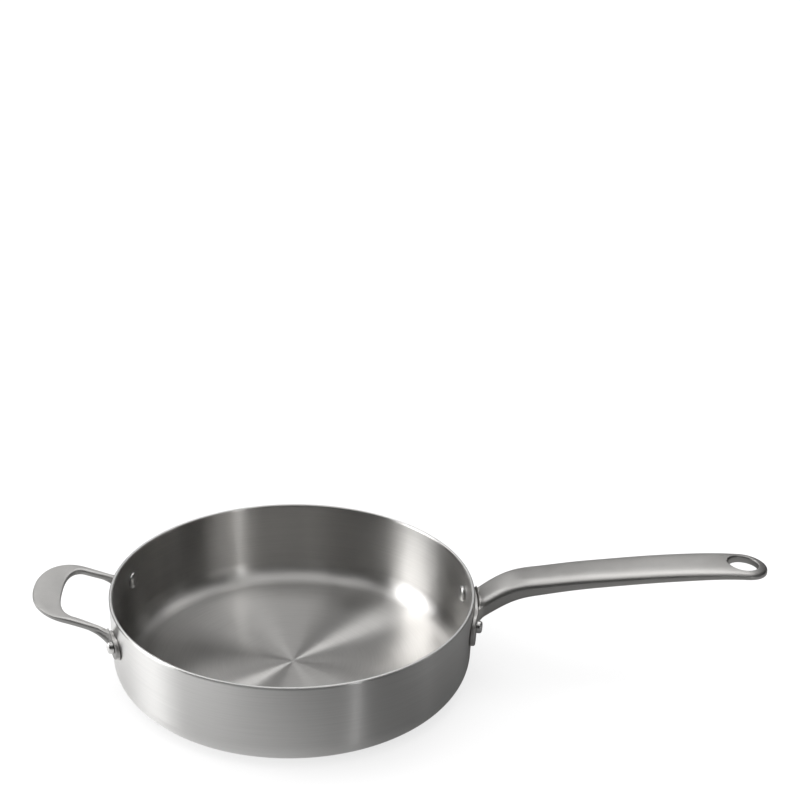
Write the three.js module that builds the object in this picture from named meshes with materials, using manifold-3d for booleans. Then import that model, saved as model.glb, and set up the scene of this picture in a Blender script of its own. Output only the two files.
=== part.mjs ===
// A riveted saute pan: a clad sheet body in three bonded layers, a cast stick handle with a hanging
// hole, a cast helper handle and the four rivets that hold the two handles to the wall.
// Millimetres, +Z up. The origin is the middle of the base on the stove, and +X runs along the stick handle.
import * as THREE from 'three';
import { ConvexGeometry } from 'three/addons/geometries/ConvexGeometry.js';
import { mergeVertices } from 'three/addons/utils/BufferGeometryUtils.js';
import Module from 'manifold-3d';

// Pan body: a nearly straight wall that leans out by DRAFT from base to rim.
const RIM_RADIUS = 140;
const HEIGHT = 69;
const DRAFT = 2.2;
const CORNER_RADIUS = 19.5;
const LEAN = Math.atan(DRAFT / HEIGHT);

// The sheet from outside to inside, with a hairline between the bonded layers.
const SKIN = 0.5;
const CORE = 1.4;
const LINER = 0.5;
const HAIRLINE = 0.05;
const WALL = SKIN + CORE + LINER + 2 * HAIRLINE;

// Clearance between pieces that are cut to fit each other.
const GAP = 0.3;

// Stick handle: [distance from the pan's axis, height of the widest line, half width, rise of the top
// above that line, depth of the underside below it] of its sections.
const BAR_STATIONS = [
  [136, 46.7, 15, 9.1, 7.8],
  [146, 54.7, 15.2, 9.1, 7.7],
  [153, 59.7, 15.5, 9.1, 7.7],
  [162, 65.3, 15.7, 8.8, 7.4],
  [174, 70.4, 15.8, 8.1, 6.8],
  [190, 73.2, 16, 7.6, 5.8],
  [215, 76.5, 16.5, 7.2, 4.7],
  [245, 79.6, 17.1, 6.5, 4.1],
  [275, 82.2, 17.6, 6, 3.7],
  [305, 84, 17.9, 5.5, 3.3],
  [330, 84.8, 18, 4.8, 2.9],
  [350, 84.2, 18, 4.3, 2.6],
];
const BAR_ROUNDNESS = { above: 3, below: 4 };
const TIP_LENGTH = 18.5;
const TIP_DROP = 1.5;
const TIP_FULLNESS = 0.4;
const TIP_CLOSED = 0.97;
const HANGING_HOLE = { x: 349.5, halfLength: 12.1, halfWidth: 12, cut: 60 };

// Flange at the root of the stick handle: a plate with a lobe round each rivet, scalloped below the bar.
const FLANGE_THICKNESS = 3.2;
const LOBE = { z: 45.4, radius: 12.8 };
const FLANGE_SCALLOP = { radius: 30, top: 40 };

// Distances from the pan's axis between which flanges and ears are cut, and the spare height of the cuts.
const WALL_BAND = { from: 100, to: 170 };
const CUT_SPARE = 60;

// Helper handle: a bent plate round a finger opening, with a broad grip and two narrow legs.
const GRIP_CENTRE_X = -162;
const GRIP_OUTER = { reach: 35.5, halfWidth: 42.6, roundness: 2.25 };
const GRIP_INNER = { reach: 14, halfWidth: 34.3, roundness: 2.5 };
const LEG_TAPER = 0.17;
const PLATE_THICKNESS = 3.6;
const PLATE_ROUNDNESS = 5;
const PLATE_ROOT_HEIGHT = 54.6;
const PLATE_RISE = 15.6;
const PLATE_BEND = 1.8;
const PLATE_STRAIGHT = 0.3;
// The plate swells into the legs between these places: its top rises, its underside drops and its
// outer edge draws in.
const LEG_SWELL = { from: -181, to: -165, rise: 1.2, depth: 0.5, inset: 1.3 };
const LEG_FILLET = 18;
const LEG_FLARE = 14;
const LEG_SQUARE = 3;
const PLATE_PAST_WALL = -0.2;
const LEG_STEPS_FROM_WALL = [-6, -2, 1, 3, 6, 9, 13, 18];
const EAR_THICKNESS = 3;
const EAR_PAD = { z: 46.2, radius: 8.8 };
const EAR_NECK = { y: 39.5, z: 47.5, radius: 5.5 };

// Rivets: a low button inside the pan and a taller head outside, on one shank through wall and handle.
const RIVET_HEIGHT = 48;
const STICK_RIVET_ANGLE = THREE.MathUtils.degToRad(10.4);
const HELPER_RIVET_ANGLE = THREE.MathUtils.degToRad(20.8);
const SHANK_RADIUS = 3;
const SPOT_FACE = 0.7;
const CUTTER_REACH = 15;
// Profiles are fractions of the radius and of the height above the seat.
const BUTTON = { radius: 6.6, height: 3.2, profile: [[0, 1], [0.5, 0.92], [0.85, 0.6], [1, 0]] };
const HEAD = { radius: 4.8, height: 4, profile: [[1, 0], [1, 0.65], [0.75, 0.95], [0, 1]] };

// Smoothness of the faceted solids.
const ROUND_STEPS = 72;
const CORNER_STEPS = 6;
const SECTION_POINTS = 20;
const BAR_STEPS = 26;
const TIP_STEPS = 5;
const GRIP_STEPS = 18;
const HOLE_STEPS = 24;
const RIVET_STEPS = 16;

const wasm = await Module();
wasm.setup();

// Turns a closed three.js geometry into a solid that can be joined and cut.
function solid(geometry) {
  geometry.deleteAttribute('normal');
  geometry.deleteAttribute('uv');
  const merged = mergeVertices(geometry, 1e-4);
  const corners = merged.index.array;
  const triangles = [];
  for (let i = 0; i < corners.length; i += 3) {
    const [a, b, c] = [corners[i], corners[i + 1], corners[i + 2]];
    if (a !== b && b !== c && c !== a) triangles.push(a, b, c);
  }
  return new wasm.Manifold(new wasm.Mesh({
    numProp: 3,
    vertProperties: new Float32Array(merged.attributes.position.array),
    triVerts: new Uint32Array(triangles),
  }));
}

// Turns a solid back into a three.js geometry.
function geometryOf(body) {
  const mesh = body.getMesh();
  const geometry = new THREE.BufferGeometry();
  geometry.setAttribute('position', new THREE.BufferAttribute(mesh.vertProperties, 3));
  geometry.setIndex(new THREE.BufferAttribute(mesh.triVerts, 1));
  geometry.computeVertexNormals();
  return geometry;
}

// Profile points are [radius, height], from the axis round to the axis, turned about +Z.
function turned(profile, steps) {
  const points = profile.map(([radius, height]) => new THREE.Vector2(radius, height));
  return new THREE.LatheGeometry(points, steps).rotateX(Math.PI / 2);
}

// A closed tube through rings of points, each ring the same length, closed by a fan at each end.
function loft(rings) {
  const count = rings[0].length;
  const positions = rings.flat().flatMap((point) => [point.x, point.y, point.z]);
  const triangles = [];
  for (let i = 0; i < rings.length - 1; i += 1) {
    for (let k = 0; k < count; k += 1) {
      const next = (k + 1) % count;
      const [a, b, c, d] = [i * count + k, i * count + next, (i + 1) * count + next, (i + 1) * count + k];
      triangles.push(a, b, c, a, c, d);
    }
  }
  const last = (rings.length - 1) * count;
  for (let k = 1; k < count - 1; k += 1) {
    triangles.push(0, k + 1, k);
    triangles.push(last, last + k, last + k + 1);
  }
  const geometry = new THREE.BufferGeometry();
  geometry.setAttribute('position', new THREE.Float32BufferAttribute(positions, 3));
  geometry.setIndex(triangles);
  return geometry;
}

// Superellipse |x|^n + |y|^n = 1: the point at a turn of the given angle.
function superellipse(angle, roundness) {
  const bend = (value) => Math.sign(value) * Math.abs(value) ** (2 / roundness);
  return [bend(Math.cos(angle)), bend(Math.sin(angle))];
}

// Pan body: each layer lies between two depths below the outside, all sharing one corner centre.
const cornerX = RIM_RADIUS - CORNER_RADIUS * Math.cos(LEAN)
  - (HEIGHT - CORNER_RADIUS + CORNER_RADIUS * Math.sin(LEAN)) * Math.tan(LEAN);

function surfaceProfile(depth) {
  const radius = CORNER_RADIUS - depth;
  const points = [[0, depth]];
  for (let i = 0; i <= CORNER_STEPS; i += 1) {
    const angle = THREE.MathUtils.lerp(-Math.PI / 2, -LEAN, i / CORNER_STEPS);
    points.push([cornerX + radius * Math.cos(angle), CORNER_RADIUS + radius * Math.sin(angle)]);
  }
  const [wallX, wallZ] = points[points.length - 1];
  points.push([wallX + (HEIGHT - wallZ) * Math.tan(LEAN), HEIGHT]);
  return points;
}

function panLayer(outerDepth, thickness) {
  const outside = surfaceProfile(outerDepth);
  const inside = surfaceProfile(outerDepth + thickness).reverse();
  return solid(turned([...outside, ...inside], ROUND_STEPS));
}

function wallRadius(height) {
  return RIM_RADIUS - (HEIGHT - height) * Math.tan(LEAN);
}

// Everything within the wall's outside moved out by offset, to cut or bound what lies on the wall.
function wallCone(offset) {
  const top = HEIGHT + CUT_SPARE;
  return solid(turned([
    [0, 0],
    [wallRadius(0) + offset, 0],
    [wallRadius(top) + offset, top],
    [0, top],
  ], ROUND_STEPS));
}

// Rivets: the local +Z axis is the wall's outward normal, and local zero is the wall's outside.
const rivetSites = [
  { name: 'stick_rivet_left', angle: STICK_RIVET_ANGLE, grip: FLANGE_THICKNESS },
  { name: 'stick_rivet_right', angle: -STICK_RIVET_ANGLE, grip: FLANGE_THICKNESS },
  { name: 'helper_rivet_left', angle: Math.PI - HELPER_RIVET_ANGLE, grip: EAR_THICKNESS },
  { name: 'helper_rivet_right', angle: Math.PI + HELPER_RIVET_ANGLE, grip: EAR_THICKNESS },
];

function onWall(object, angle) {
  const radius = wallRadius(RIVET_HEIGHT);
  object.position.set(radius * Math.cos(angle), radius * Math.sin(angle), RIVET_HEIGHT);
  object.rotation.set(0, Math.PI / 2 + LEAN, angle, 'ZYX');
  object.updateMatrix();
  return object;
}

function rivetGeometry(grip) {
  const seat = -(WALL + GAP);
  const shoulder = 2 * GAP + grip;
  return turned([
    ...BUTTON.profile.map(([across, up]) => [BUTTON.radius * across, seat - BUTTON.height * up]),
    [SHANK_RADIUS, seat],
    [SHANK_RADIUS, shoulder],
    ...HEAD.profile.map(([across, up]) => [HEAD.radius * across, shoulder + HEAD.height * up]),
  ], RIVET_STEPS);
}

// A round cutter on a rivet's axis, between two distances from the wall's outside.
function cutter(angle, radius, from, to) {
  const cylinder = new THREE.CylinderGeometry(radius, radius, to - from, RIVET_STEPS);
  cylinder.rotateX(Math.PI / 2).translate(0, 0, (from + to) / 2);
  return solid(cylinder.applyMatrix4(onWall(new THREE.Object3D(), angle).matrix));
}

const rivetHoles = rivetSites.map(
  ({ angle }) => cutter(angle, SHANK_RADIUS + GAP, -CUTTER_REACH, CUTTER_REACH),
);
const spotFaces = rivetSites.map(
  ({ angle, grip }) => cutter(angle, HEAD.radius + SPOT_FACE, GAP + grip, CUTTER_REACH),
);

function drilled(body) {
  return rivetHoles.reduce((rest, hole) => rest.subtract(hole), body);
}

function spotFaced(body) {
  return spotFaces.reduce((rest, face) => rest.subtract(face), body);
}

// A convex block across the wall on one side of the pan, outlined by { y, z, radius } circles.
function wallBlock(side, circles, spare = 0) {
  const points = circles.flatMap(({ y, z, radius }) => Array.from({ length: HOLE_STEPS }, (_, i) => {
    const angle = (2 * Math.PI * i) / HOLE_STEPS;
    return [y + radius * Math.cos(angle), z + radius * Math.sin(angle)];
  }));
  return solid(new ConvexGeometry(points.flatMap(([y, z]) => [
    new THREE.Vector3(side * (WALL_BAND.from - spare), y, z),
    new THREE.Vector3(side * (WALL_BAND.to + spare), y, z),
  ])));
}

// Stick handle: a flat bar with rounded sides that leaves the flange steeply, bends level
// and thins to a round end.
function barRings() {
  const spline = (column) => new THREE.SplineCurve(
    BAR_STATIONS.map((station) => new THREE.Vector2(station[0], station[column])),
  );
  const columns = [1, 2, 3, 4].map(spline);
  const ring = (x, z, wide, above, below) => Array.from({ length: SECTION_POINTS }, (_, k) => {
    const onTop = 2 * k < SECTION_POINTS;
    const roundness = onTop ? BAR_ROUNDNESS.above : BAR_ROUNDNESS.below;
    const [across, up] = superellipse((2 * Math.PI * k) / SECTION_POINTS, roundness);
    return new THREE.Vector3(x, wide * across, z + (onTop ? above : below) * up);
  });
  const rings = [];
  for (let i = 0; i <= BAR_STEPS; i += 1) {
    const places = columns.map((column) => column.getPoint(i / BAR_STEPS));
    rings.push(ring(places[0].x, ...places.map((place) => place.y)));
  }
  const [endX, endZ, endWide, endAbove, endBelow] = BAR_STATIONS[BAR_STATIONS.length - 1];
  for (let i = 1; i <= TIP_STEPS; i += 1) {
    const angle = (TIP_CLOSED * Math.PI * i) / (2 * TIP_STEPS);
    const out = Math.sin(angle);
    const round = Math.cos(angle);
    const thin = round ** TIP_FULLNESS;
    const place = [endX + TIP_LENGTH * out, endZ - TIP_DROP * out];
    rings.push(ring(...place, endWide * round, endAbove * thin, endBelow * thin));
  }
  return rings;
}

function stickHandle() {
  const rivetY = wallRadius(RIVET_HEIGHT) * Math.sin(STICK_RIVET_ANGLE);
  const scallopZ = FLANGE_SCALLOP.top - FLANGE_SCALLOP.radius;
  const scallop = wallBlock(1, [{ y: 0, z: scallopZ, radius: FLANGE_SCALLOP.radius }], GAP);
  const flange = wallBlock(1, [{ ...LOBE, y: rivetY }, { ...LOBE, y: -rivetY }]).subtract(scallop);
  const hole = new THREE.CylinderGeometry(1, 1, HANGING_HOLE.cut, HOLE_STEPS).rotateX(Math.PI / 2);
  hole.scale(HANGING_HOLE.halfLength, HANGING_HOLE.halfWidth, 1);
  hole.translate(HANGING_HOLE.x, 0, BAR_STATIONS[BAR_STATIONS.length - 1][1]);
  const cast = solid(loft(barRings()))
    .add(flange.intersect(wallCone(GAP + FLANGE_THICKNESS)))
    .subtract(wallCone(GAP))
    .subtract(solid(hole));
  return spotFaced(drilled(cast));
}

// How much of the legs' swell there is at x: none on the grip, all of it on the legs.
function legSwell(x) {
  return THREE.MathUtils.smoothstep(x, LEG_SWELL.from, LEG_SWELL.to);
}

// Helper handle: the top of the plate climbs straight away from the wall, then levels out towards
// the end of the grip.
function plateTop(x) {
  const tipX = GRIP_CENTRE_X - GRIP_OUTER.reach;
  const out = THREE.MathUtils.clamp((-x - RIM_RADIUS) / (-tipX - RIM_RADIUS), PLATE_PAST_WALL, 1);
  const bent = Math.max(out, PLATE_STRAIGHT);
  const slope = PLATE_BEND * (1 - bent) ** (PLATE_BEND - 1);
  const climb = PLATE_RISE * (1 - (1 - bent) ** PLATE_BEND + slope * (out - bent));
  return PLATE_ROOT_HEIGHT + climb + LEG_SWELL.rise * legSwell(x);
}

function plateRing(inner, outer, drop) {
  const middle = inner.clone().add(outer).multiplyScalar(0.5);
  const half = outer.clone().sub(inner).multiplyScalar(0.5);
  return Array.from({ length: SECTION_POINTS }, (_, k) => {
    const [across, up] = superellipse((2 * Math.PI * k) / SECTION_POINTS, PLATE_ROUNDNESS);
    const point = middle.clone().addScaledVector(half, across);
    const swell = (LEG_SWELL.rise + LEG_SWELL.depth) * legSwell(point.x);
    const thickness = PLATE_THICKNESS + swell + drop;
    return new THREE.Vector3(point.x, point.y, plateTop(point.x) - thickness * (0.5 - 0.5 * up));
  });
}

// How far a round fillet of the given radius has closed in at a distance from the wall.
function fillet(radius, distance) {
  const left = THREE.MathUtils.clamp(radius - distance, 0, radius);
  return radius - Math.sqrt(radius * radius - left * left);
}

function legRing(fromWall) {
  const wallX = -Math.sqrt(RIM_RADIUS ** 2 - GRIP_OUTER.halfWidth ** 2);
  const x = wallX - fromWall;
  const innerY = GRIP_INNER.halfWidth + LEG_TAPER * (x - GRIP_CENTRE_X);
  const flare = fillet(LEG_FLARE, Math.max(fromWall, LEG_SQUARE));
  const outerY = GRIP_OUTER.halfWidth - LEG_SWELL.inset * legSwell(x) + flare;
  const drop = fillet(LEG_FILLET, Math.max(fromWall, LEG_SQUARE));
  return plateRing(new THREE.Vector2(x, innerY), new THREE.Vector2(x, outerY), drop);
}

function gripRing(angle) {
  const outline = ({ reach, halfWidth, roundness }) => {
    const [across, out] = superellipse(angle, roundness);
    return new THREE.Vector2(GRIP_CENTRE_X - reach * out, halfWidth * across);
  };
  const outer = outline(GRIP_OUTER);
  outer.y -= LEG_SWELL.inset * legSwell(outer.x);
  return plateRing(outline(GRIP_INNER), outer, 0);
}

function mirrored(ring) {
  return ring.map((point) => new THREE.Vector3(point.x, -point.y, point.z));
}

function helperHandle() {
  const leftHalf = LEG_STEPS_FROM_WALL.map(legRing);
  for (let i = 0; i < GRIP_STEPS / 2; i += 1) leftHalf.push(gripRing((Math.PI * i) / GRIP_STEPS));
  const rings = [...leftHalf.map(mirrored), gripRing(Math.PI / 2), ...leftHalf.reverse()];
  const rivetY = wallRadius(RIVET_HEIGHT) * Math.sin(HELPER_RIVET_ANGLE);
  const ears = [1, -1].map((side) => wallBlock(-1, [
    { ...EAR_PAD, y: side * rivetY },
    { ...EAR_NECK, y: side * EAR_NECK.y },
  ]));
  const cast = solid(loft(rings))
    .add(ears[0].add(ears[1]).intersect(wallCone(GAP + EAR_THICKNESS)))
    .subtract(wallCone(GAP));
  return spotFaced(drilled(cast));
}

// Finishes: the cooking side and outside are brushed sheet, and the castings have a satin blast.
function steel(color, roughness) {
  return new THREE.MeshStandardMaterial({ color, metalness: 1, roughness });
}

const sautePan = new THREE.Group();

function addPiece(name, body, material) {
  const mesh = new THREE.Mesh(geometryOf(body), material);
  mesh.name = name;
  sautePan.add(mesh);
}

const coreDepth = SKIN + HAIRLINE;
const linerDepth = coreDepth + CORE + HAIRLINE;
addPiece('outer_skin', drilled(panLayer(0, SKIN)), steel(0xb9b8b6, 0.32));
addPiece('aluminium_core', drilled(panLayer(coreDepth, CORE)), steel(0xd2d4d6, 0.5));
addPiece('cooking_liner', drilled(panLayer(linerDepth, LINER)), steel(0xb4b2ae, 0.3));
addPiece('stick_handle', stickHandle(), steel(0xa9a8a5, 0.42));
addPiece('helper_handle', helperHandle(), steel(0xb0afac, 0.45));
for (const { name, angle, grip } of rivetSites) {
  const rivet = onWall(new THREE.Mesh(geometryOf(solid(rivetGeometry(grip))), steel(0xc6c5c2, 0.25)), angle);
  rivet.name = name;
  sautePan.add(rivet);
}

export default sautePan;
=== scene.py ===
import math

import bmesh
import bpy
import numpy as np
from mathutils import Matrix, Quaternion, Vector


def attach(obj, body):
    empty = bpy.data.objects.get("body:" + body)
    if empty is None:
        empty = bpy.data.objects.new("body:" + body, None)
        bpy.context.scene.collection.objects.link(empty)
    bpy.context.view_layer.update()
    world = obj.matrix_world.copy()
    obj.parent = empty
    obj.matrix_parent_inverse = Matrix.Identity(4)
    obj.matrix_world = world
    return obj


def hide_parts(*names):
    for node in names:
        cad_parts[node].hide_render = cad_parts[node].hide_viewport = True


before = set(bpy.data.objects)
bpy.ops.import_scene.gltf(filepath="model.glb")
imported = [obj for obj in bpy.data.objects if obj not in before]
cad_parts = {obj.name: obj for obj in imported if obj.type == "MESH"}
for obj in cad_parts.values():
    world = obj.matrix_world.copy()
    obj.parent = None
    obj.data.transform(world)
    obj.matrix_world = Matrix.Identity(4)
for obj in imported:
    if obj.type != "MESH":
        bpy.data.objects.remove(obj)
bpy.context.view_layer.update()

# Outer skin: the thin stainless sheet on the outside of the clad body. It is pressed from one flat
# disc together with the two layers under it, then turned against a belt that leaves lines round it.
RIM_RADIUS, HEIGHT, DRAFT, CORNER_RADIUS = 0.140, 0.069, 0.0022, 0.0195
SKIN, CORE, LINER, HAIRLINE = 0.0005, 0.0014, 0.0005, 0.00005
WALL = SKIN + CORE + LINER + 2 * HAIRLINE
RIM_CROWN = 0.0005
FLOOR_STEPS, CORNER_STEPS, WALL_STEPS, CROWN_STEPS, SHEET_STEPS = 40, 33, 24, 6, 256
LEAN = math.atan(DRAFT / HEIGHT)
CORNER_X = (RIM_RADIUS - CORNER_RADIUS * math.cos(LEAN)
            - (HEIGHT - CORNER_RADIUS + CORNER_RADIUS * math.sin(LEAN)) * math.tan(LEAN))
SKIN_COLOUR = (0.62, 0.615, 0.605, 1)
# The brushed lines: how close they lie along the sheet and how short they are round it, the darkest and
# lightest share of the colour, the change in roughness, and the strength and depth of the relief.
LINES_ALONG, LINES_ROUND, LINE_SHADES = 900.0, 2.2, (0.9, 1.08)
LINE_GLOSS, LINE_RELIEF, LINE_DEPTH = 0.03, 0.15, 0.00002


def wall_radius(height):
    """Radius of the wall's outside at a height, on a straight line that leans out to the rim."""
    return RIM_RADIUS - (HEIGHT - height) * math.tan(LEAN)


def sheet_line(depth):
    """Radius and height along the sheet at a depth under its outside: level from the axis, round an
    arc whose centre all layers share, then straight up the leaning wall to the crowned rim."""
    level = np.linspace(0, CORNER_X, FLOOR_STEPS)[:-1]
    arc = np.linspace(-np.pi / 2, -LEAN, CORNER_STEPS)
    bend = CORNER_RADIUS - depth
    top = HEIGHT - RIM_CROWN * (2 * depth / WALL - 1) ** 2
    rise = np.linspace(CORNER_RADIUS - bend * math.sin(LEAN), top, WALL_STEPS)[1:]
    wall = wall_radius(rise) - depth / math.cos(LEAN)
    radius = np.concatenate([level, CORNER_X + bend * np.cos(arc), wall])
    height = np.concatenate([depth + 0 * level, CORNER_RADIUS + bend * np.sin(arc), rise])
    return np.stack([radius, height], axis=-1)


def layer_line(outside, thickness):
    """The closed outline of one layer: its outside, its share of the rim's crown, and its inside."""
    edge = np.linspace(outside, outside + thickness, CROWN_STEPS)[1:-1]
    crown = np.stack([sheet_line(depth)[-1] for depth in edge])
    return np.concatenate([sheet_line(outside), crown, sheet_line(outside + thickness)[::-1]])


def once_round(steps):
    """The angles of evenly spaced steps once round."""
    return np.linspace(0, 2 * np.pi, steps, endpoint=False)


def turned(line, steps):
    """Rows of points: each radius and height of a line carried round the Z axis."""
    turn = once_round(steps)
    radius, height = line[:, :1], line[:, 1:]
    return np.stack([radius * np.cos(turn), radius * np.sin(turn), height + 0 * turn], axis=-1)


def closed_surface(name, rows):
    """A mesh through rows of points, each row joined to itself; a row that is one point is a pole."""
    index = np.arange(rows.shape[0] * rows.shape[1]).reshape(rows.shape[:2])
    beside = np.roll(index, -1, axis=1)
    quads = np.stack([index[:-1], beside[:-1], beside[1:], index[1:]], axis=-1).reshape(-1, 4)
    mesh = bpy.data.meshes.new(name)
    mesh.from_pydata(rows.reshape(-1, 3).tolist(), [], quads.tolist())
    work = bmesh.new()
    work.from_mesh(mesh)
    bmesh.ops.remove_doubles(work, verts=work.verts, dist=1e-6)
    bmesh.ops.recalc_face_normals(work, faces=work.faces)
    work.to_mesh(mesh)
    work.free()
    mesh.shade_smooth()
    piece = bpy.data.objects.new(name, mesh)
    bpy.context.scene.collection.objects.link(piece)
    return piece


def node(tree, kind, settings=None, **inputs):
    """One shader node. Its inputs, named with _ for a space or by place as in0, in1 and on, take a value
    or another node's output."""
    made = tree.nodes.new(kind)
    for key, value in (settings or {}).items():
        setattr(made, key, value)
    for key, value in inputs.items():
        socket = made.inputs[int(key[2:]) if key.startswith("in") else key.replace("_", " ")]
        if isinstance(value, bpy.types.NodeSocket):
            tree.links.new(value, socket)
        else:
            socket.default_value = value
    return made


def maths(tree, operation, *values):
    """The result of a Math node on numbers or on other nodes' outputs."""
    inputs = {f"in{place}": value for place, value in enumerate(values)}
    return node(tree, "ShaderNodeMath", {"operation": operation}, **inputs).outputs[0]


def vector_maths(tree, operation, *vectors, result="Vector", **named):
    """The result of a Vector Math node on vectors or on other nodes' outputs."""
    inputs = {f"in{place}": vector for place, vector in enumerate(vectors)}
    return node(tree, "ShaderNodeVectorMath", {"operation": operation}, **inputs, **named).outputs[result]


def shaded(colour, share):
    """A colour made darker or lighter by a share, as far as white."""
    return tuple(min(1, share * c) for c in colour[:3]) + (1,)


def new_material(name, **values):
    """A metal whose plain values sit on the shader's own sockets."""
    material = bpy.data.materials.new(name)
    material.use_nodes = True
    shader = material.node_tree.nodes["Principled BSDF"]
    for key, value in {"Metallic": 1.0, **values}.items():
        shader.inputs[key.replace("_", " ")].default_value = value
    return material, material.node_tree, shader


def brushed_sheet(name, colour, roughness, anisotropic):
    """Steel with lines round the Z axis: noise that runs long round the pan and short along its
    profile varies the shade, the roughness and a faint relief, and the gloss is drawn across the lines."""
    material, tree, shader = new_material(name, Anisotropic=anisotropic, Anisotropic_Rotation=0.25)
    place = node(tree, "ShaderNodeTexCoord").outputs["Object"]
    flat = vector_maths(tree, "MULTIPLY", place, (1, 1, 0))
    radius = vector_maths(tree, "LENGTH", flat, result="Value")
    height = node(tree, "ShaderNodeSeparateXYZ", Vector=place).outputs["Z"]
    along = maths(tree, "ADD", radius, height)
    across = maths(tree, "MULTIPLY", along, LINES_ALONG)
    heading = vector_maths(tree, "NORMALIZE", flat)
    round_pan = vector_maths(tree, "SCALE", heading, Scale=LINES_ROUND)
    line = node(tree, "ShaderNodeCombineXYZ", Z=across).outputs[0]
    brush = vector_maths(tree, "ADD", round_pan, line)
    noise = node(tree, "ShaderNodeTexNoise", Vector=brush, Scale=1.0, Detail=3.0, Roughness=0.6)
    lines = noise.outputs["Fac"]
    dark, light = [shaded(colour, share) for share in LINE_SHADES]
    shade = node(tree, "ShaderNodeMix", {"data_type": "RGBA"}, Factor=lines, in6=dark, in7=light)
    tree.links.new(shade.outputs[2], shader.inputs["Base Color"])
    gloss = node(tree, "ShaderNodeMapRange", Value=lines,
                 To_Min=roughness - LINE_GLOSS, To_Max=roughness + LINE_GLOSS)
    tree.links.new(gloss.outputs[0], shader.inputs["Roughness"])
    relief = node(tree, "ShaderNodeBump", Height=lines, Strength=LINE_RELIEF, Distance=LINE_DEPTH)
    tree.links.new(relief.outputs[0], shader.inputs["Normal"])
    groove = node(tree, "ShaderNodeTangent", {"direction_type": "RADIAL", "axis": "Z"})
    tree.links.new(groove.outputs[0], shader.inputs["Tangent"])
    return material


def fix(piece, material, slot, *nodes):
    """Gives a piece its finish, hangs it on the root body and hides the imported solids that it stands for.
    """
    piece.data.materials.append(material)
    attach(piece, "root")
    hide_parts(*nodes)


skin = closed_surface("outer_skin_sheet", turned(layer_line(0, SKIN), SHEET_STEPS))
skin_finish = brushed_sheet("brushed_outside", SKIN_COLOUR, roughness=0.34, anisotropic=1.0)
fix(skin, skin_finish, "outer_skin", "outer_skin")

# Aluminium core: the thick middle layer that spreads the heat, bonded to both steel sheets by rolling.
# It shows only as the cut edge in the middle of the rim, left as it comes off the trimming tool.
CORE_COLOUR = (0.88, 0.875, 0.865, 1)

core = closed_surface("aluminium_core_sheet", turned(layer_line(SKIN + HAIRLINE, CORE), SHEET_STEPS))
core_finish = brushed_sheet("trimmed_aluminium", CORE_COLOUR, roughness=0.48, anisotropic=0.3)
fix(core, core_finish, "aluminium_core", "aluminium_core")

# Cooking liner: the stainless sheet that the food touches. It is brushed in circles while the pan
# spins, so the floor shows bright fans that meet at its middle and the wall shows upright bands.
LINER_COLOUR = (0.62, 0.61, 0.595, 1)

liner_line = layer_line(SKIN + CORE + 2 * HAIRLINE, LINER)
liner = closed_surface("cooking_liner_sheet", turned(liner_line, SHEET_STEPS))
liner_finish = brushed_sheet("brushed_inside", LINER_COLOUR, roughness=0.32, anisotropic=1.0)
fix(liner, liner_finish, "cooking_liner", "cooking_liner")

# Stick handle: one stainless casting with a satin blast. A thin flange with a lobe for each rivet lies
# on the wall, and the bar leaves it steeply, bends level, widens and thins to an end with a hanging hole.
GAP = 0.0003
RIVET_HEIGHT = 0.048
STICK_RIVET_ANGLE = math.radians(10.4)
# In millimetres: distance from the pan's axis, height of the widest line, half width, rise above that line
# and depth below it.
BAR = 0.001 * np.array([
    [136.0, 46.7, 15.0, 9.1, 7.8],
    [146.0, 54.7, 15.2, 9.1, 7.7],
    [153.0, 59.7, 15.5, 9.1, 7.7],
    [162.0, 65.3, 15.7, 8.8, 7.4],
    [174.0, 70.4, 15.8, 8.1, 6.8],
    [190.0, 73.2, 16.0, 7.6, 5.8],
    [215.0, 76.5, 16.5, 7.2, 4.7],
    [245.0, 79.6, 17.1, 6.5, 4.1],
    [275.0, 82.2, 17.6, 6.0, 3.7],
    [305.0, 84.0, 17.9, 5.44, 3.3],
    [330.0, 84.8, 18.0, 4.74, 2.9],
    [350.0, 84.2, 18.0, 4.3, 2.6],
    [368.4, 82.7, 18.0, 3.8, 2.4],
])
TOP_ROUNDNESS, UNDER_ROUNDNESS = 3.0, 4.0
TIP_START, TIP_LENGTH, TIP_FULLNESS = 0.350, 0.0184, 0.4
HOLE_X, HOLE_LENGTH, HOLE_WIDTH, HOLE_EASE = 0.3495, 0.0116, 0.0112, 0.0015
HOLE_FLARE, HOLE_LIFT, HOLE_SHARP = np.radians(62), 0.002, math.radians(40)
FLANGE, FLANGE_EDGE, FLANGE_BACK_EDGE = 0.0032, 0.0011, 0.0006
LOBE_HEIGHT, LOBE_RADIUS = 0.0454, 0.0128
SCALLOP_RADIUS, SCALLOP_TOP, SCALLOP_MELT = 0.030, 0.040, 0.006
ROOT_CENTRE, ROOT_HEIGHT, ROOT_MARGIN, ROOT_MELT = (0.0, 0.050), 0.055, 0.0014, 0.005
ROOT_FILLET, ROOT_FILLET_SHARE, LEAST_FILLET = 0.0055, 0.85, 0.0002
BEND_END = 0.158
STICK_STEPS, BEND_STEPS, BAR_STEPS, TIP_STEPS, HOLE_STEPS = 144, 10, 150, 28, 96
EDGE_STEPS, FACE_STEPS, FILLET_STEPS, FLARE_STEPS = 7, 8, 13, 6
OUTLINE_REACH, OUTLINE_HALVINGS, FILLET_ROUNDS = 0.08, 40, 4
STICK_COLOUR = (0.57, 0.56, 0.545, 1)
# The painted shade on upright sides begins where the height of a surface's normal falls below the first
# value, and is full a span lower.
SIDE_FROM, SIDE_SPAN = 0.75, 0.45
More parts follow.
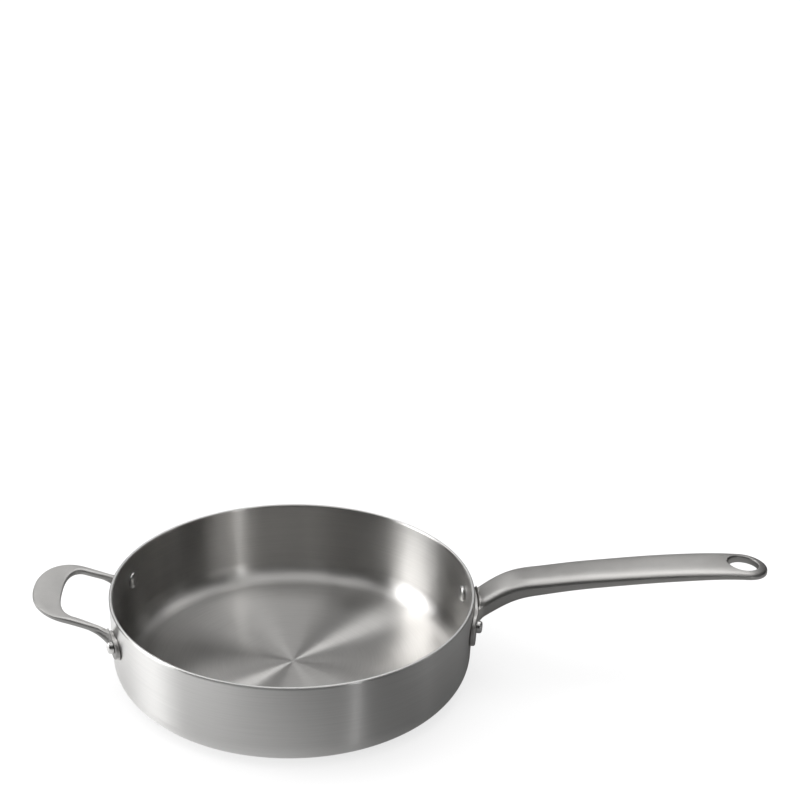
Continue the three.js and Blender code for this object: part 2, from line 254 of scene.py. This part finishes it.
# The blast: how fine its grain and its clouds are, how much the grain counts, the darkest and lightest share
# of the colour, the change in roughness, and the strength and depth of the relief.
GRAIN_SCALE, CLOUD_SCALE, GRAIN_SHARE, BLAST_SHADES = 1600.0, 60.0, 0.6, (0.88, 1.1)
BLAST_GLOSS, BLAST_RELIEF, BLAST_DEPTH = 0.04, 0.12, 0.00005


def spline(knots, values, at):
    """A natural cubic spline: a cubic between knots, its slope and bend carried on across each knot."""
    gap = np.diff(knots)
    slope = np.diff(values, axis=0) / gap[:, None]
    inner = np.arange(1, len(knots) - 1)
    system = np.eye(len(knots))
    system[inner, inner - 1], system[inner, inner + 1] = gap[:-1], gap[1:]
    system[inner, inner] = 2 * (gap[:-1] + gap[1:])
    right = np.zeros_like(values)
    right[1:-1] = 6 * np.diff(slope, axis=0)
    bend = np.linalg.solve(system, right)
    k = np.clip(np.searchsorted(knots, at) - 1, 0, len(knots) - 2)
    past, span = (at - knots[k])[..., None], gap[k][..., None]
    start = slope[k] - span * (2 * bend[k] + bend[k + 1]) / 6
    return (values[k] + past * start + past ** 2 * bend[k] / 2
            + past ** 3 * (bend[k + 1] - bend[k]) / (6 * span))


def superellipse(turn, roundness):
    """The point at a turn on |across|^n + |up|^n = 1."""
    cos, sin = np.cos(turn), np.sin(turn)
    return np.sign(cos) * np.abs(cos) ** (2 / roundness), np.sign(sin) * np.abs(sin) ** (2 / roundness)


def bar_size(x):
    """Height of the widest line, half width, rise and depth of the bar at x: splines through the table, which
    close on an ellipse at the tip."""
    middle, wide, rise, depth = np.moveaxis(spline(BAR[:, 0], BAR[:, 1:], x), -1, 0)
    closing = np.sqrt(1 - np.clip((x - TIP_START) / TIP_LENGTH, 0, 1) ** 2)
    return middle, wide * closing, rise * closing ** TIP_FULLNESS, depth * closing ** TIP_FULLNESS


def bar_section(x, turn):
    """Across and up on the bar's section at x: half a superellipse on a flatter, squarer half."""
    middle, wide, rise, depth = bar_size(x)
    top = np.sin(turn) >= 0
    across, up = np.where(top, superellipse(turn, TOP_ROUNDNESS), superellipse(turn, UNDER_ROUNDNESS))
    return wide * across, middle + np.where(top, rise, depth) * up


def melted(a, b, reach):
    """The nearer of two distances, rounded where they come within reach of each other."""
    share = np.clip(0.5 + 0.5 * (b - a) / reach, 0, 1)
    return b + (a - b) * share - reach * share * (1 - share)


def outline(distance, centre, turn):
    """Points where a distance function crosses zero in each direction from centre, found by halving."""
    near, far = np.zeros_like(turn), np.full_like(turn, OUTLINE_REACH)
    for _ in range(OUTLINE_HALVINGS):
        middle = (near + far) / 2
        inside = distance(centre[0] + middle * np.cos(turn), centre[1] + middle * np.sin(turn)) < 0
        near, far = np.where(inside, middle, near), np.where(inside, far, middle)
    return np.stack([centre[0] + near * np.cos(turn), centre[1] + near * np.sin(turn)])


def flange_distance(y, z):
    """A long round-ended plate over both rivets with a round scallop below, melted into the bar's root."""
    rivet_y = wall_radius(RIVET_HEIGHT) * math.sin(STICK_RIVET_ANGLE)
    plate = np.hypot(np.maximum(np.abs(y) - rivet_y, 0), z - LOBE_HEIGHT) - LOBE_RADIUS
    scallop = SCALLOP_RADIUS - np.hypot(y, z - (SCALLOP_TOP - SCALLOP_RADIUS))
    plate = -melted(-plate, -scallop, SCALLOP_MELT)
    middle, wide, rise, depth = bar_size(np.array(wall_radius(ROOT_HEIGHT) + GAP))
    roundness = np.where(z > middle, TOP_ROUNDNESS, UNDER_ROUNDNESS)
    up = (z - middle) / (np.where(z > middle, rise, depth) + ROOT_MARGIN)
    reach = (np.abs(y / (wide + ROOT_MARGIN)) ** roundness + np.abs(up) ** roundness) ** (1 / roundness)
    return melted(plate, (reach - 1) * wide, ROOT_MELT)


def on_wall(side, y, z, out):
    """Distance along X of a point that stands out from the wall's outside, at y and z."""
    return side * np.sqrt((wall_radius(z) + GAP + out) ** 2 - y ** 2)


def cast_root(side, centre, edge, section, turn, plate, fillet, stretch):
    """Rows of a cast foot on the wall: from the middle of its back, round its edge, over its face, and
    up a fillet, stretched along the limb, onto the section of the limb that leaves it."""
    heading = np.stack([np.cos(turn), np.sin(turn)])
    thickness, ease, back = plate
    ramp = np.linspace(0, np.pi / 2, EDGE_STEPS)
    inset = np.concatenate([back * (1 - np.sin(ramp)), ease * (1 - np.cos(ramp))])
    out = np.concatenate([back * (1 - np.cos(ramp)), thickness - ease + ease * np.sin(ramp)])
    rows = [np.tile([on_wall(side, *centre, 0), *centre], (len(turn), 1))]
    for step, height in zip(inset, out):
        y, z = edge - step * heading
        rows.append(np.stack([on_wall(side, y, z, height), y, z], axis=-1))
    face = edge - ease * heading
    climb = []
    for angle in np.linspace(0, np.pi / 2, FILLET_STEPS):
        height, offset = thickness + stretch * fillet * (1 - np.cos(angle)), fillet * (1 - np.sin(angle))
        x = on_wall(side, *section(side * wall_radius(centre[1]) + 0 * turn, turn), height)
        for _ in range(FILLET_ROUNDS):
            y, z = np.stack(section(x, turn)) + offset * heading
            x = on_wall(side, y, z, height)
        climb.append(np.stack([x, y, z], axis=-1))
    for share in np.linspace(0, 1, FACE_STEPS)[1:-1]:
        y, z = face + (climb[0][:, 1:].T - face) * share
        rows.append(np.stack([on_wall(side, y, z, thickness), y, z], axis=-1))
    return np.stack(rows + climb)


def limb(section, turn, start, stop, steps):
    """Rows of a limb between two places along X, each place a number or one for every point of the row."""
    share = np.linspace(0, 1, steps)[1:, None]
    x = start + share * (stop - start)
    y, z = section(x, turn)
    return np.stack([x + 0 * turn, y, z], axis=-1)


def stick_rows():
    """The whole handle before its hole: flange, fillet, bar and rounded tip."""
    turn = once_round(STICK_STEPS)
    edge = outline(flange_distance, ROOT_CENTRE, turn)
    y, z = bar_section(wall_radius(ROOT_HEIGHT) + GAP + 0 * turn, turn)
    room = np.hypot(*(edge - np.stack([y, z]))) - FLANGE_EDGE
    fillet = np.clip(ROOT_FILLET_SHARE * room, LEAST_FILLET, ROOT_FILLET)
    plate = FLANGE, FLANGE_EDGE, FLANGE_BACK_EDGE
    root = cast_root(1, ROOT_CENTRE, edge, bar_section, turn, plate, fillet, stretch=1)
    bend = limb(bar_section, turn, root[-1, :, 0], BEND_END, BEND_STEPS)
    bar = limb(bar_section, turn, BEND_END, TIP_START, BAR_STEPS)
    x = TIP_START + TIP_LENGTH * np.sin(np.linspace(0, np.pi / 2, TIP_STEPS))[1:, None]
    y, z = bar_section(x + 0 * turn, turn)
    return np.concatenate([root, bend, bar, np.stack([x + 0 * turn, y, z], axis=-1)])


def hole_rows():
    """The cutter for the hanging hole: an upright oval that flares where it leaves the bar's top and bottom,
    so that the rim of the hole is eased."""
    turn = once_round(HOLE_STEPS)
    ease = np.linspace(0, HOLE_FLARE, FLARE_STEPS)
    flare, depth = HOLE_EASE * (1 - np.cos(ease)), HOLE_EASE * (1 - np.sin(ease))
    flare = np.append(flare, flare[-1] + (depth[-1] + HOLE_LIFT) * math.tan(ease[-1]))
    depth = np.append(depth, -HOLE_LIFT)
    x, y = HOLE_X + HOLE_LENGTH * np.cos(turn), HOLE_WIDTH * np.sin(turn)
    middle, wide, rise, under = bar_size(x)
    side = np.clip(np.abs(y / wide), 0, 1)
    top = middle + rise * (1 - side ** TOP_ROUNDNESS) ** (1 / TOP_ROUNDNESS)
    bottom = middle - under * (1 - side ** UNDER_ROUNDNESS) ** (1 / UNDER_ROUNDNESS)
    wider = flare[:, None]
    ring = np.stack([x + wider * np.cos(turn), y + wider * np.sin(turn)])
    upper = np.stack([*ring, top - depth[:, None]], axis=-1)
    lower = np.stack([*ring, bottom + depth[:, None]], axis=-1)
    rows = np.concatenate([upper[::-1], lower])
    cap = rows[[0, -1]].mean(axis=1, keepdims=True) + 0 * rows[:1]
    return np.concatenate([cap[:1], rows, cap[1:]])


def mark_sides(piece):
    """Keeps on each point how upright the surface is there: 0 where it lies level, 1 where it stands up."""
    normal = np.empty(3 * len(piece.data.vertices))
    piece.data.vertices.foreach_get("normal", normal)
    upright = np.clip((SIDE_FROM - np.abs(normal[2::3])) / SIDE_SPAN, 0, 1)
    piece.data.attributes.new("side", "FLOAT", "POINT").data.foreach_set("value", upright)


def satin_cast(name, colour, roughness, painted_side_shade):
    """Blasted cast steel: two sizes of noise give a soft cloud and a fine grain in shade, gloss and relief,
    and upright sides are painted darker by a share, as painted shade."""
    material, tree, shader = new_material(name)
    place = node(tree, "ShaderNodeTexCoord").outputs["Object"]
    grain = node(tree, "ShaderNodeTexNoise", Vector=place, Scale=GRAIN_SCALE, Detail=2.0).outputs["Fac"]
    cloud = node(tree, "ShaderNodeTexNoise", Vector=place, Scale=CLOUD_SCALE, Detail=3.0).outputs["Fac"]
    speckle = maths(tree, "MULTIPLY_ADD", grain, GRAIN_SHARE, -GRAIN_SHARE / 2)
    tone = maths(tree, "ADD", speckle, cloud)
    dark, light = [shaded(colour, share) for share in BLAST_SHADES]
    shade = node(tree, "ShaderNodeMix", {"data_type": "RGBA"}, Factor=tone, in6=dark, in7=light)
    # Painted shade: the colour is multiplied darker on upright sides, where the side mask is high.
    side = node(tree, "ShaderNodeAttribute", {"attribute_name": "side"}).outputs["Fac"]
    side_painted_shade = node(tree, "ShaderNodeMix", {"data_type": "RGBA", "blend_type": "MULTIPLY"}, Factor=side,
                  in6=shade.outputs[2], in7=(painted_side_shade, painted_side_shade, painted_side_shade, 1))
    tree.links.new(side_painted_shade.outputs[2], shader.inputs["Base Color"])
    gloss = node(tree, "ShaderNodeMapRange", Value=tone,
                 To_Min=roughness - BLAST_GLOSS, To_Max=roughness + BLAST_GLOSS)
    tree.links.new(gloss.outputs[0], shader.inputs["Roughness"])
    relief = node(tree, "ShaderNodeBump", Height=grain, Strength=BLAST_RELIEF, Distance=BLAST_DEPTH)
    tree.links.new(relief.outputs[0], shader.inputs["Normal"])
    return material


stick = closed_surface("stick_handle_casting", stick_rows())
hole = closed_surface("hanging_hole_cutter", hole_rows())
drill = stick.modifiers.new("hanging_hole", "BOOLEAN")
drill.object, drill.operation, drill.solver = hole, "DIFFERENCE", "EXACT"
bpy.context.view_layer.update()
drilled = bpy.data.meshes.new_from_object(stick.evaluated_get(bpy.context.evaluated_depsgraph_get()))
stick.modifiers.clear()
stick.data = drilled
stick.data.set_sharp_from_angle(angle=HOLE_SHARP)
bpy.data.objects.remove(hole)
mark_sides(stick)
# The stick's upright sides get painted shade at 0.78 of its colour.
stick_finish = satin_cast("satin_stick", STICK_COLOUR, roughness=0.42, painted_side_shade=0.78)
fix(stick, stick_finish, "stick_handle", "stick_handle")

# Helper handle: one satin stainless casting, a bent plate round a finger opening with a broad grip. Its two
# narrow legs turn down at the wall into ears, and a rivet holds each ear.
HELPER_RIVET_ANGLE = math.radians(20.8)
GRIP_CENTRE = -0.162
GRIP_REACH, GRIP_WIDTH, GRIP_ROUNDNESS = 0.0355, 0.0426, 2.25
OPENING_REACH, OPENING_WIDTH, OPENING_ROUNDNESS = 0.014, 0.0343, 2.5
LEG_HEIGHT, LEG_TAPER, LEG_EASE, LEG_ROUNDNESS = 0.053, 0.17, 0.006, 3.0
PLATE, PLATE_ROUNDNESS = 0.0036, 5.0
PLATE_ROOT, PLATE_RISE, PLATE_BEND, PLATE_STRAIGHT, PLATE_INSIDE = 0.0546, 0.0156, 1.8, 0.3, -0.2
# Along X, the plate swells into the legs between the first two places, and back between the last two.
SWELL_START, SWELL_FULL, SWELL_FADE, SWELL_END = -0.181, -0.165, -0.146, -0.135
SWELL_RISE, SWELL_DEPTH, SWELL_INSET = 0.0012, 0.0005, 0.0013
EAR, EAR_EDGE, EAR_BACK_EDGE = 0.003, 0.0009, 0.0005
# Height and radius of the pad round the rivet, then y, height and radius of the neck and of the leg's end.
EAR_PAD, EAR_NECK, EAR_LEG = (0.0462, 0.0088), (0.0395, 0.0475, 0.0055), (0.0405, 0.0515, 0.0034)
EAR_CENTRE, NECK_MELT, LEG_MELT = (0.0435, 0.0492), 0.008, 0.003
LEG_FILLET, UNDER_FILLET, OUTSIDE_FILLET = 0.0022, 0.0085, 0.0035
LEG_FILLET_SHARE, LEG_FILLET_STRETCH = 0.9, 1.5
HELPER_STEPS, LEG_STEPS, GRIP_STEPS = 96, 24, 64
HELPER_COLOUR = (0.70, 0.69, 0.675, 1)


def smooth_step(x, start, stop):
    """A cubic that leaves 0 level at start and reaches 1 level at stop."""
    share = np.clip((x - start) / (stop - start), 0, 1)
    return share ** 2 * (3 - 2 * share)


def leg_swell(x):
    """How much of the legs' swell there is at x: a smooth step up from the grip, and one down to the wall."""
    return smooth_step(x, SWELL_START, SWELL_FULL) * (1 - smooth_step(x, SWELL_FADE, SWELL_END))


def plate_top(x):
    """Height of the plate's top: it climbs straight from the wall, then levels out towards the grip's end,
    and stands higher where the plate swells into the legs."""
    out = np.clip((-x - RIM_RADIUS) / (GRIP_REACH - GRIP_CENTRE - RIM_RADIUS), PLATE_INSIDE, 1)
    bent = np.maximum(out, PLATE_STRAIGHT)
    slope = PLATE_BEND * (1 - bent) ** (PLATE_BEND - 1)
    climb = PLATE_RISE * (1 - (1 - bent) ** PLATE_BEND + slope * (out - bent))
    return PLATE_ROOT + climb + SWELL_RISE * leg_swell(x)


def plate_height(x, up):
    """Height on the plate's section at x, where up goes from -1 on its underside to 1 on its top."""
    return plate_top(x) - (PLATE + (SWELL_RISE + SWELL_DEPTH) * leg_swell(x)) * (0.5 - 0.5 * up)


def plate_section(x, turn):
    """Across and up on the plate's section, from -1 to 1: a flat superellipse that is rounder on the legs."""
    return superellipse(turn, PLATE_ROUNDNESS + (LEG_ROUNDNESS - PLATE_ROUNDNESS) * leg_swell(x))


def leg_section(x, turn):
    """Across and up on a leg at x: the plate's section between the leg's inner and outer edges."""
    past = np.maximum(x - GRIP_CENTRE, 0)
    inner = OPENING_WIDTH + LEG_TAPER * past ** 2 / (past + LEG_EASE)
    outer = GRIP_WIDTH - SWELL_INSET * leg_swell(x)
    across, up = plate_section(x, turn)
    return (outer + inner) / 2 + (outer - inner) / 2 * across, plate_height(x, up)


def ear_distance(y, z):
    """A round pad over the rivet melted into a smaller neck and into the end of the leg."""
    rivet_y = wall_radius(RIVET_HEIGHT) * math.sin(HELPER_RIVET_ANGLE)
    pad = np.hypot(y - rivet_y, z - EAR_PAD[0]) - EAR_PAD[1]
    neck = np.hypot(y - EAR_NECK[0], z - EAR_NECK[1]) - EAR_NECK[2]
    leg = np.hypot(y - EAR_LEG[0], z - EAR_LEG[1]) - EAR_LEG[2]
    return melted(melted(pad, neck, NECK_MELT), leg, LEG_MELT)


def helper_rows():
    """Half the handle from the back of one ear to the middle of the grip, and its mirror image."""
    turn = once_round(HELPER_STEPS)
    edge = outline(ear_distance, EAR_CENTRE, turn)
    y, z = leg_section(-wall_radius(LEG_HEIGHT) + 0 * turn, turn)
    room = np.hypot(*(edge - np.stack([y, z]))) - EAR_EDGE
    under, outside = np.clip(-np.sin(turn), 0, 1), np.clip(np.cos(turn), 0, 1)
    wanted = LEG_FILLET + UNDER_FILLET * under + OUTSIDE_FILLET * outside
    fillet = np.clip(LEG_FILLET_SHARE * room, LEAST_FILLET, wanted)
    plate = EAR, EAR_EDGE, EAR_BACK_EDGE
    root = cast_root(-1, EAR_CENTRE, edge, leg_section, turn, plate, fillet, LEG_FILLET_STRETCH)
    leg = limb(leg_section, turn, root[-1, :, 0], GRIP_CENTRE, LEG_STEPS)
    bend = np.linspace(0, np.pi / 2, GRIP_STEPS)[1:, None]
    wide, out = superellipse(bend, OPENING_ROUNDNESS)
    inner = np.stack([GRIP_CENTRE - OPENING_REACH * out, OPENING_WIDTH * wide])
    wide, out = superellipse(bend, GRIP_ROUNDNESS)
    reach = GRIP_CENTRE - GRIP_REACH * out
    outer = np.stack([reach, GRIP_WIDTH * wide - SWELL_INSET * leg_swell(reach)])
    across, up = plate_section(reach, turn)
    x, y = (inner + outer) / 2 + (outer - inner) / 2 * across
    grip = np.stack([x, y, plate_height(x, up)], axis=-1)
    half = np.concatenate([root, leg, grip])
    return np.concatenate([half, half[-2::-1] * (1, -1, 1)])


helper = closed_surface("helper_handle_casting", helper_rows())
mark_sides(helper)
# The helper's upright sides get painted shade at 0.42 of its colour.
helper_finish = satin_cast("satin_helper", HELPER_COLOUR, roughness=0.50, painted_side_shade=0.42)
fix(helper, helper_finish, "helper_handle", "helper_handle")

# Rivets: four bright stainless rivets, each with a low button inside the pan and a taller head outside,
# upset on one shank that goes through the wall and the handle's flange or ear.
SHANK_RADIUS = 0.003
BUTTON_RADIUS, BUTTON_HEIGHT, BUTTON_ROUNDNESS = 0.0066, 0.0032, 2.6
HEAD_RADIUS, HEAD_HEIGHT, HEAD_ROUNDNESS = 0.0048, 0.0040, 4.0
DOME_STEPS, RIVET_STEPS, RIVET_SHARP = 20, 64, math.radians(50)
RIVET_COLOUR = (0.60, 0.595, 0.585, 1)


def rivet_line(grip):
    """Radius and distance from the wall's outside along a rivet: button, shank and head."""
    seat, shoulder = -(WALL + GAP), 2 * GAP + grip
    turn = np.linspace(np.pi / 2, 0, DOME_STEPS)
    across, up = superellipse(turn, BUTTON_ROUNDNESS)
    button = np.stack([BUTTON_RADIUS * across, seat - BUTTON_HEIGHT * up], axis=-1)
    across, up = superellipse(turn[::-1], HEAD_ROUNDNESS)
    head = np.stack([HEAD_RADIUS * across, shoulder + HEAD_HEIGHT * up], axis=-1)
    button[0, 0] = head[-1, 0] = 0
    shank = np.array([[SHANK_RADIUS, seat], [SHANK_RADIUS, shoulder]])
    return np.concatenate([button, shank, head])


def placed_on_wall(rows, angle):
    """Rows about the Z axis carried to the wall: Z becomes the wall's outward normal at that angle."""
    out = np.array([math.cos(angle) * math.cos(LEAN), math.sin(angle) * math.cos(LEAN), -math.sin(LEAN)])
    beside = np.array([-math.sin(angle), math.cos(angle), 0])
    foot = wall_radius(RIVET_HEIGHT) * np.array([math.cos(angle), math.sin(angle), 0]) + (0, 0, RIVET_HEIGHT)
    return foot + rows @ np.stack([np.cross(beside, out), beside, out])


rivet_finish = satin_cast("bright_rivet", RIVET_COLOUR, roughness=0.30, painted_side_shade=1.0)
for name, angle, grip in (
    ("stick_rivet_left", STICK_RIVET_ANGLE, FLANGE),
    ("stick_rivet_right", -STICK_RIVET_ANGLE, FLANGE),
    ("helper_rivet_left", math.pi - HELPER_RIVET_ANGLE, EAR),
    ("helper_rivet_right", math.pi + HELPER_RIVET_ANGLE, EAR),
):
    rows = placed_on_wall(turned(rivet_line(grip), RIVET_STEPS), angle)
    rivet = closed_surface(name + "_turned", rows)
    rivet.data.set_sharp_from_angle(angle=RIVET_SHARP)
    fix(rivet, rivet_finish, "rivets", name)

# Floor: a white paper sweep that the pan stands on. The lamps light part of its white, which keeps the
# pan's soft shadow, and the rest glows, so that the steel shows it white too.
FLOOR_SIZE, FLOOR_HEIGHT = 40.0, -0.0002
FLOOR_COLOUR, FLOOR_GLOW = (0.86, 0.86, 0.86, 1), 0.7
WHITE = (1, 1, 1, 1)


def flat_square(name, size, height):
    """A level square about the Z axis: four corners half a size out."""
    corner = 0.5 * size * np.array([[-1, -1, 0], [1, -1, 0], [1, 1, 0], [-1, 1, 0]]) + (0, 0, height)
    mesh = bpy.data.meshes.new(name)
    mesh.from_pydata(corner.tolist(), [], [(0, 1, 2, 3)])
    made = bpy.data.objects.new(name, mesh)
    bpy.context.scene.collection.objects.link(made)
    return made


def empty_tree(owner):
    """The node tree of a material or a world, with nothing in it."""
    owner.use_nodes = True
    owner.node_tree.nodes.clear()
    return owner.node_tree


floor = flat_square("floor", FLOOR_SIZE, FLOOR_HEIGHT)
paper = bpy.data.materials.new("white_floor")
tree = empty_tree(paper)
ray = node(tree, "ShaderNodeLightPath").outputs
seen = maths(tree, "MAXIMUM", ray["Is Camera Ray"], ray["Is Glossy Ray"])
seen = maths(tree, "MAXIMUM", seen, ray["Is Transmission Ray"])
share = maths(tree, "MULTIPLY", seen, FLOOR_GLOW)
lit = node(tree, "ShaderNodeBsdfDiffuse", Color=FLOOR_COLOUR).outputs[0]
white = node(tree, "ShaderNodeEmission", Color=WHITE, Strength=1.0).outputs[0]
mix = node(tree, "ShaderNodeMixShader", Fac=share, in1=lit, in2=white).outputs[0]
node(tree, "ShaderNodeOutputMaterial", Surface=mix)
floor.data.materials.append(paper)

# Table card: a glowing card round the foot of the pan that only reflections see, its glow a painted
# reflection of a room's light and shade on the steel. It glows by direction in degrees from the stick handle,
# one way near the pan and another farther out, mostly darker near the pan as painted shadow.
CARD_SIZE, CARD_HEIGHT = 3.0, 0.0001
NEAR_GLOW = (
    (-180, 1.08), (-165, 1.08), (-135, 0.98), (-120, 0.92), (-105, 0.80), (-90, 0.66),
    (-75, 0.46), (-60, 0.30), (-40, 0.22), (0, 0.17), (20, 0.02), (40, 0.08), (60, 0.08),
    (90, 0.20), (120, 0.42), (135, 0.62), (150, 0.95), (165, 1.25), (180, 1.08),
)
FAR_GLOW = (
    (-180, 1.90), (-160, 1.05), (-135, 1.25), (-120, 1.00), (-105, 0.60), (-90, 0.38),
    (-60, 0.26), (-45, 0.26), (-25, 0.42), (15, 0.42), (40, 0.02), (70, 0.05),
    (90, 0.32), (120, 0.46), (135, 0.70), (150, 1.25), (165, 2.10), (180, 1.90),
)
NEAR_EDGE, FAR_EDGE = 0.19, 0.26


def only_reflected(thing):
    """Keeps a card out of every ray but the ones that a glossy surface sends."""
    thing.visible_camera = thing.visible_diffuse = thing.visible_shadow = False
    thing.visible_transmission = thing.visible_volume_scatter = False


def glow_by_heading(tree, turn, levels):
    """Grey that runs evenly from one level to the next as the heading goes once round."""
    ramp = node(tree, "ShaderNodeValToRGB", Fac=turn)
    stops = ramp.color_ramp.elements
    for degrees, level in levels:
        at = (degrees + 180) / 360
        stop = stops[0] if degrees == -180 else stops[-1] if degrees == 180 else stops.new(at)
        stop.position, stop.color = at, (level, level, level, 1)
    return ramp.outputs[0]


card = flat_square("floor_card", CARD_SIZE, CARD_HEIGHT)
only_reflected(card)
grey = bpy.data.materials.new("grey_card")
tree = empty_tree(grey)
place = node(tree, "ShaderNodeTexCoord").outputs["Object"]
part = node(tree, "ShaderNodeSeparateXYZ", Vector=place).outputs
heading = maths(tree, "ARCTAN2", part["Y"], part["X"])
turn = node(tree, "ShaderNodeMapRange", Value=heading, From_Min=-math.pi, From_Max=math.pi).outputs[0]
away = vector_maths(tree, "LENGTH", place, result="Value")
far = node(tree, "ShaderNodeMapRange", Value=away, From_Min=NEAR_EDGE, From_Max=FAR_EDGE).outputs[0]
both = node(tree, "ShaderNodeMix", {"data_type": "RGBA"}, Factor=far,
            in6=glow_by_heading(tree, turn, NEAR_GLOW), in7=glow_by_heading(tree, turn, FAR_GLOW)).outputs[2]
# Painted reflection: this glow stands in for the room's light and shade as the steel mirrors it.
glow = node(tree, "ShaderNodeEmission", Color=both, Strength=1.0).outputs[0]
node(tree, "ShaderNodeOutputMaterial", Surface=glow)
card.data.materials.append(grey)

# Tent: a dome of dark cloth over the pan that only reflections see, so the steel is dark wherever it shows
# no lamp and no card.
TENT_RADIUS, TENT_GLOW = 4.0, 0.004
TENT_RISE_STEPS, TENT_STEPS = 24, 64

arc = np.linspace(0, np.pi / 2, TENT_RISE_STEPS)
tent_line = TENT_RADIUS * np.stack([np.cos(arc), np.sin(arc)], axis=-1)
tent = closed_surface("dark_tent", turned(tent_line, TENT_STEPS))
only_reflected(tent)
cloth = bpy.data.materials.new("dark_cloth")
tree = empty_tree(cloth)
dim = node(tree, "ShaderNodeEmission", Color=WHITE, Strength=TENT_GLOW).outputs[0]
node(tree, "ShaderNodeOutputMaterial", Surface=dim)
tent.data.materials.append(cloth)

# Lamps: soft boxes on the left, behind, above and on the right, all inside the tent and facing the pan.
# Each row gives the direction round and above the pan, the roll, the width and the height, all in degrees,
# and the radiance.
LAMP_DISTANCE = 3.0
LAMPS = {
    "left_box": (175, 30, 36, 16, 50, 5.2),
    "left_edge": (187, 32, 36, 8, 50, 2.8),
    "left_side": (160, 30, 36, 12, 56, 2.1),
    "left_top": (150, 55, 30, 20, 16, 1.5),
    "back_box": (45, 60, 0, 22, 24, 2.1),
    "back_right": (72, 36, 0, 14, 28, 0.8),
    "back_mid": (58, 44, 0, 16, 12, 1.0),
    "back_left": (109, 38, 0, 22, 30, 1.05),
    "back_top": (80, 62, 0, 20, 16, 1.75),
    "back_low": (90, 12, 0, 60, 14, 0.5),
    "top_box": (0, 90, 0, 32, 32, 1.2),
    "top_left": (180, 68, 0, 14, 14, 1.8),
    "front_top": (-90, 66, 0, 30, 18, 0.45),
    "right_top": (-45, 55, 0, 15, 20, 1.1),
    "right_strip": (-54, 17, 0, 4, 28, 3.6),
    "side_strip": (-7, 14, 0, 5, 22, 0.45),
}


def soft_lamp(name, azimuth, elevation, roll, wide, tall, radiance):
    """A rectangular lamp that faces the pan from a direction, rolled about that direction. Its width and
    height are the angles that it fills as the pan sees it, and it glows evenly at the given radiance."""
    lamp = bpy.data.lights.new(name, "AREA")
    lamp.shape = "RECTANGLE"
    lamp.size, lamp.size_y = [2 * LAMP_DISTANCE * math.tan(math.radians(angle / 2)) for angle in (wide, tall)]
    lamp.energy = math.pi * lamp.size * lamp.size_y * radiance
    a, e = math.radians(azimuth), math.radians(elevation)
    made = bpy.data.objects.new(name, lamp)
    heading = Vector((math.cos(e) * math.cos(a), math.cos(e) * math.sin(a), math.sin(e)))
    made.location = LAMP_DISTANCE * heading
    facing = made.location.to_track_quat("Z", "Y") @ Quaternion((0, 0, 1), math.radians(roll))
    made.rotation_euler = facing.to_euler()
    bpy.context.scene.collection.objects.link(made)
    return made


lamps = {name: soft_lamp(name, *setting) for name, setting in LAMPS.items()}

# The strongest lamp is kept off the two castings, whose level tops would glare white seen from the right.
castings = bpy.data.collections.new("castings")
for casting in (stick, helper):
    castings.objects.link(casting)
for entry in castings.collection_objects:
    entry.light_linking.link_state = "EXCLUDE"
lamps["left_box"].light_linking.receiver_collection = castings

# Air: an even white behind everything, which lights the floor and is the background.
world = bpy.data.worlds.new("studio_air")
bpy.context.scene.world = world
tree = empty_tree(world)
air = node(tree, "ShaderNodeBackground", Color=WHITE, Strength=1.0).outputs[0]
node(tree, "ShaderNodeOutputWorld", Surface=air)

# Camera: a long lens in front of the pan and above it, fitted to the rim, the floor circle and both handles
# as the photograph shows them. The angles are in degrees.
SENSOR_WIDTH, FOCAL_PIXELS, PICTURE_PIXELS, SIGHT = 36, 1675, 800, 100
CAMERA_PLACE = (0.0050, -1.1254, 0.7193)
CAMERA_TURN, CAMERA_DIP, CAMERA_ROLL = -3.74, 23.62, 1.55

camera = bpy.data.cameras.new("camera")
camera.lens, camera.sensor_width = SENSOR_WIDTH * FOCAL_PIXELS / PICTURE_PIXELS, SENSOR_WIDTH
camera.sensor_fit = "HORIZONTAL"
camera.clip_end = SIGHT
viewer = bpy.data.objects.new("camera", camera)
viewer.matrix_world = (Matrix.Translation(CAMERA_PLACE)
                       @ Matrix.Rotation(math.radians(CAMERA_TURN), 4, "Z")
                       @ Matrix.Rotation(math.radians(90 - CAMERA_DIP), 4, "X")
                       @ Matrix.Rotation(math.radians(CAMERA_ROLL), 4, "Z"))
bpy.context.scene.collection.objects.link(viewer)
bpy.context.scene.camera = viewer
bpy.context.scene.view_settings.view_transform = "Standard"
